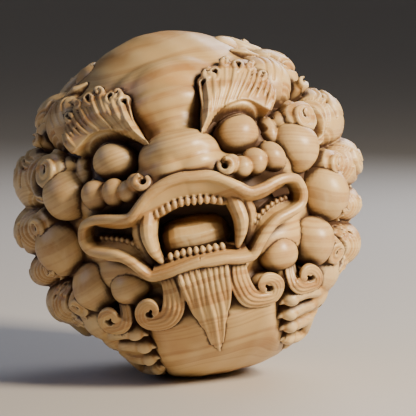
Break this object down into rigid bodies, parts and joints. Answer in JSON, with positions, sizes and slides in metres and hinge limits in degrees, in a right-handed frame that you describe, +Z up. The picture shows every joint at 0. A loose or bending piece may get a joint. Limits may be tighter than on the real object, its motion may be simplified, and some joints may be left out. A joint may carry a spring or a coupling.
{
  "type": "carved wooden lion ball",
  "caption": "Hand-sized carved wooden ball in the form of a curled guardian lion, open-mouthed face to the front, resting on a small flat spot.",
  "frame": {"origin": "on the surface the ball rests on, under the middle of its bounding box", "axes": "+Z up, the lion's face looks along -Y and slightly up, and +X is to the right of someone facing it"},
  "size_m": [0.0488, 0.0474, 0.0478],
  "materials": {
    "boxwood": "satin, oiled and hand-rubbed, with darker wood in the recesses"
  },
  "bodies": {
    "root": {"carved_ball": "boxwood"}
  },
  "joints": []
}
